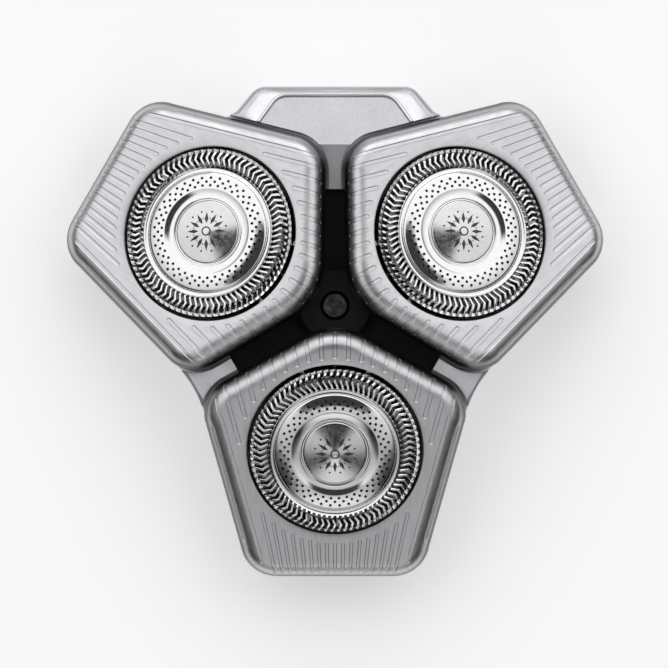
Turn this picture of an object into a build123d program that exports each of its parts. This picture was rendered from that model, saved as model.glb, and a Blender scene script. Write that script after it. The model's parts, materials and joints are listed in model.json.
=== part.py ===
from build123d import *
import math
import os

# Rotary shaver head: three pivoting cutting units on one frame, lying on its rear rim with the
# shaving face up. Millimetres. +Z is up, +Y points to the tab, the origin is under the centre
# screw on the rear rim. Every cutting unit is made once in its own head frame (x away from the
# centre screw, z out of the shaving face, z = 0 at the lip round the guard) and placed three times.

# Arrangement of the three heads
HEAD_RADIUS = 18.1      # centre screw to the centre of a guard
HEAD_HEIGHT = 15.0      # rear rim to the lip round the guard, at the guard's centre
HEAD_LEAN = 15.0        # outward lean of each head, degrees
HEADS = {"right": 30.0, "left": 150.0, "bottom": 270.0}
VALLEYS = (90.0, 210.0, 330.0)
VALLEY_ANGLE = 60.0     # between a head and the valley beside it, degrees

# Pentagon housing, corners before rounding
APEX_START = 0.98       # centre screw to the apex
SIDE_LENGTH = 19.85     # apex to shoulder, along the valley
OUTER_X = 16.57         # guard's centre to the outer edge
OUTER_Y = 10.82
APEX_ROUND = 8.2
SHOULDER_ROUND = 5.0
OUTER_ROUND = 4.6
HOUSING_DEPTH = 5.2     # lip to the lower edge of the side walls
HOUSING_WALL = 1.1
HOUSING_ROOF = 1.2
ROLLED_EDGE = 2.3       # radius of the rolled top edge
LIP_RADIUS = 11.0       # opening round the guard
LIP_WALL = 1.0
LIP_DEPTH = 3.8

# Guard, a thin steel cap with a slotted track, a channel and a perforated plate
GUARD_GAP = 0.38        # guard to the housing's opening
GUARD_SHEET = 0.4
GUARD_FOOT = -1.4       # lower edge of the guard's outer wall
TRACK_HEIGHT = 1.25
TRACK_WIDTH = 2.22
TRACK_CORNER = 0.4      # bevel between the track and the outer wall
TRACK_SLOPE = 0.3       # width of the slope from the track into the channel
CHANNEL_DEPTH = 0.42
CHANNEL_WIDTH = 0.45
PLATE_SLOPE = 0.15
PLATE_RISE = 0.3
PLATE_WIDTH = 2.05
PLATE_CROWN = 0.28      # rise of the plate towards its inner edge
COVE_WIDTH = 1.0        # slope from the plate down to the rim round the trim disc
COVE_DROP = 0.17
RIM_WIDTH = 0.3
SHELF_DROP = 0.28
SHELF_WIDTH = 1.55
SLOT_COUNT = 80
SLOT_BEND_WIDTH = 0.95  # the track's inner edge to the bend of the slots
SLOT_BEND_ANGLE = 2.4   # sideways shift of the slot at its bend, degrees
SLOT_BENT_WIDTH = 1.85  # the track's inner edge to where the slots run straight out
SLOT_SHARE = 0.58       # open part of each pitch
SLOT_DEPTH = 0.9        # how far down the slots reach in the outer wall

# Trim disc and its bearing stem
DISC_GAP = 0.14
DISC_THICKNESS = 0.32
DISC_RIM = 0.2
DISC_DOME = 0.46
DISC_TIP = 0.5          # flat middle of the dome
STEM_RADIUS = 1.2
STEM_FOOT = -1.0
STEM_END_GAP = 0.3

# Carrier ring that rolls in the housing, and the retaining ring clipped into it
CARRIER_WALL = 0.72
CARRIER_STEP = 0.5      # ledge over the retaining ring
CARRIER_SKIRT = 0.1     # how far the carrier reaches below the retaining ring
SPIGOT_WALL = 0.34
SPIGOT_HEIGHT = 0.8
ROLL_PIN_RADIUS = 0.5
ROLL_PIN_SUNK = 0.2     # inner end of each pin behind the carrier's bore
ROLL_PIN_END = 0.2      # outer end of each pin past the lip wall
RETAINER_TOP = -3.2
RETAINER_SHEET = 1.0
RETAINER_FIT = 0.05
RETAINER_RIM = 1.15
RETAINER_EYE_INNER = 3.5
RETAINER_EYE_WALL = 1.0
SPOKE_WIDTH = 1.6
SPOKE_COUNT = 3
SPOKE_START = 60.0      # degrees

# Cutter: steel blade ring on a plastic drive hub
BLADE_COUNT = 15
BLADE_GAP = 0.12        # blade tips to the track
BLADE_SIDE_GAP = 0.18   # blade ends to the carrier's spigot
BLADE_LENGTH = 1.0
BLADE_THICKNESS = 0.5
BLADE_RAKE = 15.0       # degrees
BLADE_RING_GAP = 0.2    # blade ring to the carrier's bore
BLADE_RING_WIDTH = 3.6
BLADE_RING_TOP = -0.7
BLADE_RING_SHEET = 0.4
HUB_SEAT = 0.8          # overlap of the hub's flange and the blade ring
HUB_FLANGE = 0.6
HUB_TOWER_WALL = 0.95
HUB_TOWER_GAP = 0.26    # hub to the guard's shelf
HUB_GAP = 0.5           # hub to the retaining ring's eye
HUB_END = 1.2           # how far the hub reaches below the retaining ring
SOCKET_RADIUS = 1.4
SOCKET_DEPTH = 3.0
KEY_WIDTH = 0.9
KEY_LENGTH = 4.4
KEY_DEPTH = 1.4

# Tilt hinge near the centre screw, under the outer face of the lip wall
RUNNING_FIT = 0.05      # radial clearance of every pin and stem that turns
HINGE_DROP = 2.6        # guard's centre down to the hinge line
HINGE_PIN_RADIUS = 0.6
HINGE_EYE_RADIUS = 1.0
EAR_INNER = 2.2
EAR_WIDTH = 1.4
LUG_WIDTH = 1.2
HINGE_SIDE_GAP = 0.3

# Centre deck and its screw
DECK_DROP = 1.5         # hinge line down to the deck
DECK_SHEET = 1.4
DECK_RIM = 2.1          # hinge line out to the deck's round edge
DECK_ARM_WIDTH = 5.0
DECK_ARM_GAP = 0.1
BOSS_WALL = 2.53
BOSS_RISE = 1.7
SCREW_HEAD_RADIUS = 1.6
SCREW_HEAD_HEIGHT = 1.4
SCREW_HEAD_BEVEL = 0.15
SCREW_SIDE_GAP = 0.27
SCREW_SUNK = 0.2
SCREW_SHANK_RADIUS = 1.0
SCREW_LENGTH = 7.2
SCREW_CLEARANCE = 0.15
SCREW_SOCKET_DEPTH = 0.8
SCREW_LOBE_RADIUS = 0.42
SCREW_LOBE_OFFSET = 0.6

# Frame
RUN_GAP = 0.4           # housing to frame
SKIRT_INSET = 2.2       # skirt inside the housing's outline
SKIRT_WALL = 0.83       # thinnest wall between a hair chamber and the valley
WEB_START = 14.65       # centre screw to the inner edge of each web
WEB_START_DROP = 3.0    # guard's centre down to the inner edge of each web
WEB_CREST = 20.2
WEB_CREST_DROP = 1.6
WEB_EDGE = 20.5         # centre screw to the middle of a web's outer edge
WEB_EDGE_RADIUS = 13.2
WEB_HALF_WIDTH = 5.3
WEB_CORNER_ROUND = 1.2
WEB_ROOT = 17.5         # where the web's sides run into the skirts
WEB_ROOT_HALF_WIDTH = 9.0
TAB_EDGE = 27.6
TAB_EDGE_DROP = 4.4
TAB_HALF_WIDTH = 9.8
TAB_DEPTH = 3.7         # edge to the shoulders
TAB_FOOT_HALF_WIDTH = 12.8
TAB_STEP = 1.6
TAB_ROOT_DEPTH = 3.4    # shoulders to where the tab's sides run into the skirts
TAB_ROOT_HALF_WIDTH = 17.0
TAB_ROUND = 2.3
TAB_EDGE_ROUND = 0.8
TAB_WALL = 1.6
CHAMBER_INSET = 0.9     # middle of each hair chamber, in from the guard's centre
FLOOR_SHEET = 2.0
PORT_RADIUS = 8.5       # opening for the drive spindle in each chamber's floor
RIB_POCKET_START = 6.0
RIB_POCKET_HALF_WIDTH = 1.9
RIB_WALL = 1.4
TAB_POCKET_START = 19.6
TAB_POCKET_SIDE = 2.4   # tab's side to its pocket

# Places and sizes that follow from those above
TALL = 4 * HEAD_HEIGHT  # past any piece, for cuts that go right through
LEAN = math.radians(HEAD_LEAN)
DOWN = (math.sin(LEAN), 0, -math.cos(LEAN))     # straight down, seen in the head frame
SIDE_X = math.cos(math.radians(VALLEY_ANGLE))
SIDE_Y = math.sin(math.radians(VALLEY_ANGLE))
APEX_X = APEX_START - HEAD_RADIUS
SHOULDER_X = APEX_X + SIDE_LENGTH * SIDE_X
SHOULDER_Y = SIDE_LENGTH * SIDE_Y
GUARD_RADIUS = LIP_RADIUS - GUARD_GAP
TRACK_INNER = GUARD_RADIUS - TRACK_WIDTH
CHANNEL_OUTER = TRACK_INNER - TRACK_SLOPE
CHANNEL_INNER = CHANNEL_OUTER - CHANNEL_WIDTH
PLATE_OUTER = CHANNEL_INNER - PLATE_SLOPE
PLATE_INNER = PLATE_OUTER - PLATE_WIDTH
RIM_OUTER = PLATE_INNER - COVE_WIDTH
RIM_INNER = RIM_OUTER - RIM_WIDTH
SHELF_INNER = RIM_INNER - SHELF_WIDTH
CHANNEL_HEIGHT = TRACK_HEIGHT - CHANNEL_DEPTH
PLATE_HEIGHT = CHANNEL_HEIGHT + PLATE_RISE
PLATE_TOP = PLATE_HEIGHT + PLATE_CROWN
RIM_HEIGHT = PLATE_TOP - COVE_DROP
SHELF_HEIGHT = RIM_HEIGHT - SHELF_DROP
SLOT_BEND_RADIUS = TRACK_INNER + SLOT_BEND_WIDTH
SLOT_BENT_RADIUS = TRACK_INNER + SLOT_BENT_WIDTH
SPIGOT_RADIUS = GUARD_RADIUS - GUARD_SHEET
CARRIER_RECESS = GUARD_RADIUS - CARRIER_WALL
CARRIER_BORE = CARRIER_RECESS - CARRIER_STEP
RETAINER_FOOT = RETAINER_TOP - RETAINER_SHEET
CARRIER_FOOT = RETAINER_FOOT - CARRIER_SKIRT
ROLL_AXIS_HEIGHT = (GUARD_FOOT + RETAINER_TOP) / 2
BLADE_OUTER = SPIGOT_RADIUS - SPIGOT_WALL - BLADE_SIDE_GAP
BLADE_INNER = BLADE_OUTER - BLADE_LENGTH
BLADE_RING_OUTER = CARRIER_BORE - BLADE_RING_GAP
BLADE_RING_INNER = BLADE_RING_OUTER - BLADE_RING_WIDTH
HUB_TOWER_TOP = SHELF_HEIGHT - GUARD_SHEET - HUB_TOWER_GAP
HUB_RADIUS = RETAINER_EYE_INNER - HUB_GAP
HUB_FOOT = RETAINER_FOOT - HUB_END
HINGE_RADIUS = HEAD_RADIUS - LIP_RADIUS - LIP_WALL
HINGE_HEIGHT = HEAD_HEIGHT - HINGE_DROP
HINGE_REACH = EAR_INNER + EAR_WIDTH + HINGE_SIDE_GAP + LUG_WIDTH
DECK_TOP = HINGE_HEIGHT - DECK_DROP
DECK_BOTTOM = DECK_TOP - DECK_SHEET
DECK_RADIUS = HINGE_RADIUS + DECK_RIM
DECK_ARM_END = WEB_START - DECK_ARM_GAP
SCREW_RECESS_RADIUS = SCREW_HEAD_RADIUS + SCREW_SIDE_GAP
BOSS_RADIUS = SCREW_RECESS_RADIUS + BOSS_WALL
BOSS_TOP = DECK_TOP + BOSS_RISE
SCREW_TOP = BOSS_TOP - SCREW_SUNK
SCREW_SEAT = SCREW_TOP - SCREW_HEAD_HEIGHT
WEB_START_HEIGHT = HEAD_HEIGHT - WEB_START_DROP
WEB_CREST_HEIGHT = HEAD_HEIGHT - WEB_CREST_DROP
TAB_EDGE_HEIGHT = HEAD_HEIGHT - TAB_EDGE_DROP
TAB_SHOULDER = TAB_EDGE - TAB_DEPTH
TAB_ROOT = TAB_SHOULDER - TAB_ROOT_DEPTH
TAB_SIDE_HALF_WIDTH = TAB_FOOT_HALF_WIDTH + TAB_STEP
TAB_POCKET_HALF_WIDTH = TAB_HALF_WIDTH - TAB_POCKET_SIDE
CHAMBER_OFFSET = HEAD_RADIUS - CHAMBER_INSET
CHAMBER_RADIUS = (HEAD_RADIUS - APEX_START) * SIDE_Y - SKIRT_INSET - SKIRT_WALL

BASE = (Align.CENTER, Align.CENTER, Align.MIN)
HANG = (Align.CENTER, Align.CENTER, Align.MAX)


def in_head_frame(radial, height):
    """A point over the line from the centre screw to the guard, in the head frame."""
    out = radial - HEAD_RADIUS
    rise = height - HEAD_HEIGHT
    x = out * math.cos(LEAN) - rise * math.sin(LEAN)
    z = out * math.sin(LEAN) + rise * math.cos(LEAN)
    return x, z


HINGE_X, HINGE_Z = in_head_frame(HINGE_RADIUS, HINGE_HEIGHT)


def head_place(azimuth):
    """The head frame's place in the part."""
    a = math.radians(azimuth)
    return Location(
        Plane(
            origin=(HEAD_RADIUS * math.cos(a), HEAD_RADIUS * math.sin(a), HEAD_HEIGHT),
            x_dir=(math.cos(a) * math.cos(LEAN), math.sin(a) * math.cos(LEAN), -math.sin(LEAN)),
            z_dir=(math.cos(a) * math.sin(LEAN), math.sin(a) * math.sin(LEAN), math.cos(LEAN)),
        )
    )


def ring(outer, inner, top, bottom):
    """A plain ring about the head's axis."""
    body = Pos(0, 0, top) * Cylinder(outer, top - bottom, align=HANG)
    return body - Pos(0, 0, top) * Cylinder(inner, top - bottom, align=HANG)


def rod(radius, start, end, direction):
    """A round rod about the direction's axis, between two places along it."""
    along = Vector(*direction)
    seat = Plane(origin=along * start, z_dir=along)
    return seat * Cylinder(radius, end - start, align=BASE)


def rounded(outline, corner, radius):
    """The outline with the corner nearest to the given point rounded."""
    vertex = outline.vertices().sort_by_distance(corner)[0]
    return fillet(vertex, radius)


def pentagon():
    """The housing's outline, apex towards the centre screw."""
    corners = (
        (APEX_X, 0),
        (SHOULDER_X, -SHOULDER_Y),
        (OUTER_X, -OUTER_Y),
        (OUTER_X, OUTER_Y),
        (SHOULDER_X, SHOULDER_Y),
    )
    rounds = (APEX_ROUND, SHOULDER_ROUND, OUTER_ROUND, OUTER_ROUND, SHOULDER_ROUND)
    outline = make_face(Polyline(*corners, close=True))
    for (x, y), radius in zip(corners, rounds):
        outline = rounded(outline, (x, y, 0), radius)
    return outline


def straight_down(outline, start, depth):
    """The outline at a height in the head frame, carried straight down by a depth."""
    return extrude(Pos(0, 0, start) * outline, amount=depth / math.cos(LEAN), dir=DOWN)


def housing():
    """Pentagon cap with a rolled edge, a lip wall round the guard and two hinge lugs."""
    outline = pentagon()
    cap = straight_down(outline, 0, HOUSING_DEPTH)
    top = cap.faces().sort_by(Axis.Z)[-1]
    cap = fillet(top.edges(), ROLLED_EDGE)
    inside = offset(outline, -HOUSING_WALL)
    shift = HOUSING_ROOF * math.tan(LEAN)
    hollow = straight_down(Pos(shift, 0, 0) * inside, -HOUSING_ROOF, HOUSING_DEPTH)
    hollow -= Cylinder(LIP_RADIUS + LIP_WALL, LIP_DEPTH, align=HANG)
    cap -= hollow
    for side in (-1, 1):
        cap += hinge_lug(side)
    cap -= Cylinder(LIP_RADIUS, TALL)
    bore = HINGE_PIN_RADIUS + RUNNING_FIT
    cap -= Pos(HINGE_X, 0, HINGE_Z) * rod(bore, -TALL / 2, TALL / 2, (0, 1, 0))
    for side in (-1, 1):
        cap -= roll_axis_rod(ROLL_PIN_RADIUS, LIP_RADIUS / 2, LIP_RADIUS + LIP_WALL + ROLL_PIN_END, side)
    return cap


def hinge_lug(side):
    """One lug under the housing's roof, with a round end about the hinge pin."""
    start = HINGE_REACH - LUG_WIDTH
    eye = Pos(HINGE_X, 0, HINGE_Z) * rod(HINGE_EYE_RADIUS, start, HINGE_REACH, (0, side, 0))
    rise = -HOUSING_ROOF / 2 - HINGE_Z
    stem = Pos(HINGE_X, side * (start + LUG_WIDTH / 2), HINGE_Z)
    return eye + stem * Box(2 * HINGE_EYE_RADIUS, LUG_WIDTH, rise, align=BASE)


def roll_axis_rod(radius, start, end, side):
    """A rod on the roll axis, on the side away from the centre screw or towards it."""
    return Pos(0, 0, ROLL_AXIS_HEIGHT) * rod(radius, start, end, (side, 0, 0))


def roll_pins():
    """Two short pins in the housing's lip wall that carry the carrier ring."""
    pins = Part()
    start = CARRIER_BORE + ROLL_PIN_SUNK
    end = LIP_RADIUS + LIP_WALL + ROLL_PIN_END
    for side in (-1, 1):
        pins += roll_axis_rod(ROLL_PIN_RADIUS, start, end, side)
    return pins


def carrier():
    """Ring under the guard, with a spigot inside the guard's wall and a recess below."""
    body = ring(GUARD_RADIUS, CARRIER_BORE, GUARD_FOOT, CARRIER_FOOT)
    body -= Pos(0, 0, RETAINER_TOP) * Cylinder(CARRIER_RECESS, TALL, align=HANG)
    inner = SPIGOT_RADIUS - SPIGOT_WALL
    body += ring(SPIGOT_RADIUS, inner, GUARD_FOOT + SPIGOT_HEIGHT, GUARD_FOOT)
    for side in (-1, 1):
        body -= roll_axis_rod(ROLL_PIN_RADIUS + RUNNING_FIT, CARRIER_BORE / 2, TALL, side)
    return body


def guard_profile():
    """Half section of the guard, radius against height."""
    sheet = GUARD_SHEET
    wall = SPIGOT_RADIUS
    corner = TRACK_CORNER
    upper = (
        (GUARD_RADIUS, GUARD_FOOT),
        (GUARD_RADIUS, TRACK_HEIGHT - corner),
        (GUARD_RADIUS - corner, TRACK_HEIGHT),
        (TRACK_INNER, TRACK_HEIGHT),
        (CHANNEL_OUTER, CHANNEL_HEIGHT),
        (CHANNEL_INNER, CHANNEL_HEIGHT),
        (PLATE_OUTER, PLATE_HEIGHT),
        (PLATE_INNER, PLATE_TOP),
        (RIM_OUTER, RIM_HEIGHT),
        (RIM_INNER, RIM_HEIGHT),
        (RIM_INNER, SHELF_HEIGHT),
        (SHELF_INNER, SHELF_HEIGHT),
    )
    lower = (
        (SHELF_INNER, SHELF_HEIGHT - sheet),
        (RIM_OUTER, SHELF_HEIGHT - sheet),
        (RIM_OUTER + sheet / 2, RIM_HEIGHT - sheet),
        (PLATE_INNER, PLATE_TOP - sheet),
        (PLATE_OUTER - sheet / 2, PLATE_HEIGHT - sheet),
        (CHANNEL_INNER - sheet / 2, CHANNEL_HEIGHT - sheet),
        (CHANNEL_OUTER + sheet / 2, CHANNEL_HEIGHT - sheet),
        (TRACK_INNER + sheet / 2, TRACK_HEIGHT - sheet),
        (wall - corner / 2, TRACK_HEIGHT - sheet),
        (wall, TRACK_HEIGHT - sheet - corner / 2),
        (wall, GUARD_FOOT),
    )
    return [(radius, 0, height) for radius, height in upper + lower]


def slot_outline():
    """One bent slot of the track, across the x axis."""
    pitch = 360 / SLOT_COUNT
    half = pitch * SLOT_SHARE / 2
    outside = GUARD_RADIUS + TRACK_CORNER
    stations = (
        (TRACK_INNER, 0),
        (SLOT_BEND_RADIUS, SLOT_BEND_ANGLE),
        (SLOT_BENT_RADIUS, 0),
        (outside, 0),
    )
    one_side = [(radius, shift - half) for radius, shift in stations]
    other_side = [(radius, shift + half) for radius, shift in reversed(stations)]
    points = []
    for radius, angle in one_side + other_side:
        a = math.radians(angle)
        points.append((radius * math.cos(a), radius * math.sin(a)))
    return make_face(Polyline(*points, close=True))


def guard():
    """Steel cap with its ring of bent slots."""
    section = make_face(Polyline(*guard_profile(), close=True))
    cap = revolve(section, Axis.Z)
    slot = Pos(0, 0, TRACK_HEIGHT - SLOT_DEPTH) * extrude(slot_outline(), amount=2 * SLOT_DEPTH)
    return cap - [Rot(0, 0, i * 360 / SLOT_COUNT) * slot for i in range(SLOT_COUNT)]


def trim_disc():
    """Domed disc in the middle of the guard, with the stem that the cutter turns on."""
    radius = RIM_INNER - DISC_GAP
    top = SHELF_HEIGHT + DISC_THICKNESS
    disc = Pos(0, 0, SHELF_HEIGHT) * Cylinder(radius, DISC_THICKNESS, align=BASE)
    disc += Pos(0, 0, top) * Cone(radius - DISC_RIM, DISC_TIP, DISC_DOME, align=BASE)
    stem = Pos(0, 0, STEM_FOOT) * Cylinder(STEM_RADIUS, SHELF_HEIGHT - STEM_FOOT, align=BASE)
    return disc + stem


def blade_ring():
    """Steel ring with raked blades that run under the track."""
    bottom = BLADE_RING_TOP - BLADE_RING_SHEET
    tips = TRACK_HEIGHT - GUARD_SHEET - BLADE_GAP
    body = ring(BLADE_RING_OUTER, BLADE_RING_INNER, BLADE_RING_TOP, bottom)
    foot = BLADE_RING_TOP - BLADE_RING_SHEET / 2
    half = BLADE_THICKNESS / 2
    lean = (tips - foot) * math.tan(math.radians(BLADE_RAKE))
    side = Plane.YZ * make_face(
        Polyline((-half, foot), (half, foot), (half + lean, tips), (lean - half, tips), close=True)
    )
    blade = Pos(BLADE_INNER, 0, 0) * extrude(side, amount=BLADE_OUTER - BLADE_INNER, dir=(1, 0, 0))
    for i in range(BLADE_COUNT):
        body += Rot(0, 0, i * 360 / BLADE_COUNT) * blade
    return body


def drive_hub():
    """Plastic hub under the blade ring, with the bearing above and the drive socket below."""
    flange_top = BLADE_RING_TOP - BLADE_RING_SHEET
    hub = Pos(0, 0, flange_top) * Cylinder(BLADE_RING_INNER + HUB_SEAT, HUB_FLANGE, align=HANG)
    tower = STEM_RADIUS + RUNNING_FIT + HUB_TOWER_WALL
    hub += Pos(0, 0, flange_top) * Cylinder(tower, HUB_TOWER_TOP - flange_top, align=BASE)
    hub += Pos(0, 0, HUB_FOOT) * Cylinder(HUB_RADIUS, flange_top - HUB_FOOT, align=BASE)
    bearing = HUB_TOWER_TOP - STEM_FOOT + STEM_END_GAP
    hub -= Pos(0, 0, HUB_TOWER_TOP) * Cylinder(STEM_RADIUS + RUNNING_FIT, bearing, align=HANG)
    hub -= Pos(0, 0, HUB_FOOT) * Cylinder(SOCKET_RADIUS, SOCKET_DEPTH, align=BASE)
    hub -= Pos(0, 0, HUB_FOOT) * Box(KEY_LENGTH, KEY_WIDTH, KEY_DEPTH, align=BASE)
    return hub


def retaining_ring():
    """Spoked ring clipped into the carrier, which keeps the cutter in."""
    rim = CARRIER_RECESS - RETAINER_FIT
    body = ring(rim, rim - RETAINER_RIM, RETAINER_TOP, RETAINER_FOOT)
    eye = RETAINER_EYE_INNER + RETAINER_EYE_WALL
    body += ring(eye, RETAINER_EYE_INNER, RETAINER_TOP, RETAINER_FOOT)
    start = eye - RETAINER_EYE_WALL / 2
    length = rim - RETAINER_RIM / 2 - start
    middle = Pos(start + length / 2, 0, RETAINER_TOP)
    spoke = middle * Box(length, SPOKE_WIDTH, RETAINER_SHEET, align=HANG)
    for i in range(SPOKE_COUNT):
        body += Rot(0, 0, SPOKE_START + i * 360 / SPOKE_COUNT) * spoke
    return body


def hinge_pin():
    """Pin of the tilt hinge, along the head's y axis."""
    return Pos(HINGE_X, 0, HINGE_Z) * rod(HINGE_PIN_RADIUS, -HINGE_REACH, HINGE_REACH, (0, 1, 0))


def hinge_ears(azimuth):
    """Two ears on the deck that hold one head's hinge pin."""
    ears = Part()
    for side in (-1, 1):
        middle = side * (EAR_INNER + EAR_WIDTH / 2)
        foot = DECK_TOP - DECK_SHEET / 2
        ears += Pos(HINGE_RADIUS, middle, foot) * Box(
            2 * HINGE_EYE_RADIUS, EAR_WIDTH, HINGE_HEIGHT - foot, align=BASE
        )
        ears += Pos(HINGE_RADIUS, middle, HINGE_HEIGHT) * Rot(90, 0, 0) * Cylinder(
            HINGE_EYE_RADIUS, EAR_WIDTH
        )
    ears -= Pos(HINGE_RADIUS, 0, HINGE_HEIGHT) * Rot(90, 0, 0) * Cylinder(HINGE_PIN_RADIUS, TALL)
    return Rot(0, 0, azimuth) * ears


def deck_outline(growth=0.0):
    """Plan of the deck: a round hub and an arm in each valley."""
    plan = Sketch() + Circle(DECK_RADIUS + growth)
    for valley in VALLEYS:
        length = DECK_ARM_END + growth
        arm = Pos(length / 2, 0) * Rectangle(length, DECK_ARM_WIDTH + 2 * growth)
        plan += Rot(0, 0, valley) * arm
    return plan


def centre_deck():
    """Black deck between the heads, with the hinge ears and the screw's recess."""
    deck = Pos(0, 0, DECK_BOTTOM) * extrude(deck_outline(), amount=DECK_SHEET)
    deck += Pos(0, 0, DECK_TOP) * Cylinder(BOSS_RADIUS, BOSS_TOP - DECK_TOP, align=BASE)
    for azimuth in HEADS.values():
        deck += hinge_ears(azimuth)
    deck -= Pos(0, 0, SCREW_SEAT) * Cylinder(SCREW_RECESS_RADIUS, TALL, align=BASE)
    deck -= Cylinder(SCREW_SHANK_RADIUS + SCREW_CLEARANCE, TALL)
    return deck


def centre_screw():
    """Screw with a three-lobed socket that holds the deck to the frame."""
    screw = Pos(0, 0, SCREW_TOP) * Cylinder(SCREW_HEAD_RADIUS, SCREW_HEAD_HEIGHT, align=HANG)
    screw = chamfer(screw.faces().sort_by(Axis.Z)[-1].edges(), SCREW_HEAD_BEVEL)
    screw += Pos(0, 0, SCREW_SEAT) * Cylinder(SCREW_SHANK_RADIUS, SCREW_LENGTH, align=HANG)
    socket = Sketch() + Circle(SCREW_LOBE_OFFSET)
    for azimuth in HEADS.values():
        socket += Rot(0, 0, azimuth) * Pos(SCREW_LOBE_OFFSET, 0) * Circle(SCREW_LOBE_RADIUS)
    return screw - Pos(0, 0, SCREW_TOP) * extrude(socket, amount=-SCREW_SOCKET_DEPTH)


def web(azimuth):
    """Silver web in one of the two lower valleys, its outer edge a shallow hollow curve."""
    sag = WEB_EDGE_RADIUS - math.sqrt(WEB_EDGE_RADIUS**2 - WEB_HALF_WIDTH**2)
    corner = WEB_EDGE + sag
    sides = Polyline(
        (corner, WEB_HALF_WIDTH),
        (WEB_ROOT, WEB_ROOT_HALF_WIDTH),
        (0, WEB_ROOT_HALF_WIDTH),
        (0, -WEB_ROOT_HALF_WIDTH),
        (WEB_ROOT, -WEB_ROOT_HALF_WIDTH),
        (corner, -WEB_HALF_WIDTH),
    )
    edge = ThreePointArc((corner, -WEB_HALF_WIDTH), (WEB_EDGE, 0), (corner, WEB_HALF_WIDTH))
    outline = make_face(sides + edge)
    for side in (-1, 1):
        outline = rounded(outline, (corner, side * WEB_HALF_WIDTH, 0), WEB_CORNER_ROUND)
    block = extrude(outline, amount=WEB_CREST_HEIGHT)
    return Rot(0, 0, azimuth) * (block - above_web(WEB_CREST_HEIGHT))


def above_web(edge_height):
    """All that lies over the roof line of a web or the tab, along the x axis."""
    roof = (
        (WEB_START, WEB_START_HEIGHT),
        (WEB_CREST, WEB_CREST_HEIGHT),
        (TAB_EDGE, edge_height),
    )
    before = roof[0][0] - 1
    slope = (roof[1][1] - roof[0][1]) / (roof[1][0] - roof[0][0])
    after = roof[2][0] + 1
    fall = (roof[2][1] - roof[1][1]) / (roof[2][0] - roof[1][0])
    points = (
        (before, 0, roof[0][1] - slope),
        (roof[1][0], 0, roof[1][1]),
        (after, 0, roof[2][1] + fall),
        (after, 0, TALL),
        (before, 0, TALL),
    )
    return extrude(make_face(Polyline(*points, close=True)), amount=TALL, both=True)


def tab():
    """Tab in the top valley, falling from its crest towards its rounded edge."""
    corners = [
        (TAB_SHOULDER, TAB_FOOT_HALF_WIDTH),
        (TAB_EDGE, TAB_HALF_WIDTH),
        (TAB_EDGE, -TAB_HALF_WIDTH),
        (TAB_SHOULDER, -TAB_FOOT_HALF_WIDTH),
    ]
    root = [
        (TAB_SHOULDER, -TAB_SIDE_HALF_WIDTH),
        (TAB_ROOT, -TAB_ROOT_HALF_WIDTH),
        (0, -TAB_ROOT_HALF_WIDTH),
        (0, TAB_ROOT_HALF_WIDTH),
        (TAB_ROOT, TAB_ROOT_HALF_WIDTH),
        (TAB_SHOULDER, TAB_SIDE_HALF_WIDTH),
    ]
    outline = make_face(Polyline(*corners, *root, close=True))
    for x, y in corners:
        outline = rounded(outline, (x, y, 0), TAB_ROUND)
    block = extrude(outline, amount=WEB_CREST_HEIGHT) - above_web(TAB_EDGE_HEIGHT)
    slope = block.faces().filter_by(lambda f: f.normal_at().Z > 0.5).sort_by(Axis.X)[-1]
    rim = slope.edges().filter_by(lambda e: (e @ 0.5).X > TAB_SHOULDER - 0.01)
    return Rot(0, 0, VALLEYS[0]) * fillet(rim, TAB_EDGE_ROUND)


def skirt(azimuth):
    """Skirt under one head, inside the housing's outline, up to the running gap."""
    inset = offset(pentagon(), -SKIRT_INSET)
    block = head_place(azimuth) * straight_down(inset, 0, 2 * HEAD_HEIGHT)
    return block & Box(4 * TALL, 4 * TALL, TALL, align=BASE)


def head_space(azimuth):
    """Room for one head over the frame: below its walls and round them."""
    room = offset(pentagon(), RUN_GAP)
    low = HOUSING_DEPTH + RUN_GAP
    shift = low * math.tan(LEAN)
    floor = Pos(shift, 0, -low) * room
    up = tuple(-value for value in DOWN)
    return head_place(azimuth) * extrude(floor, amount=TALL / 2, dir=up)


def hinge_room():
    """Room over the frame for one head's hinge, along the x axis."""
    reach = HINGE_REACH + RUN_GAP
    width = 2 * (HINGE_EYE_RADIUS + RUN_GAP)
    foot = HINGE_HEIGHT - HINGE_EYE_RADIUS - RUN_GAP
    return Pos(HINGE_RADIUS, 0, foot) * Box(width, 2 * reach, TALL, align=BASE)


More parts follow.
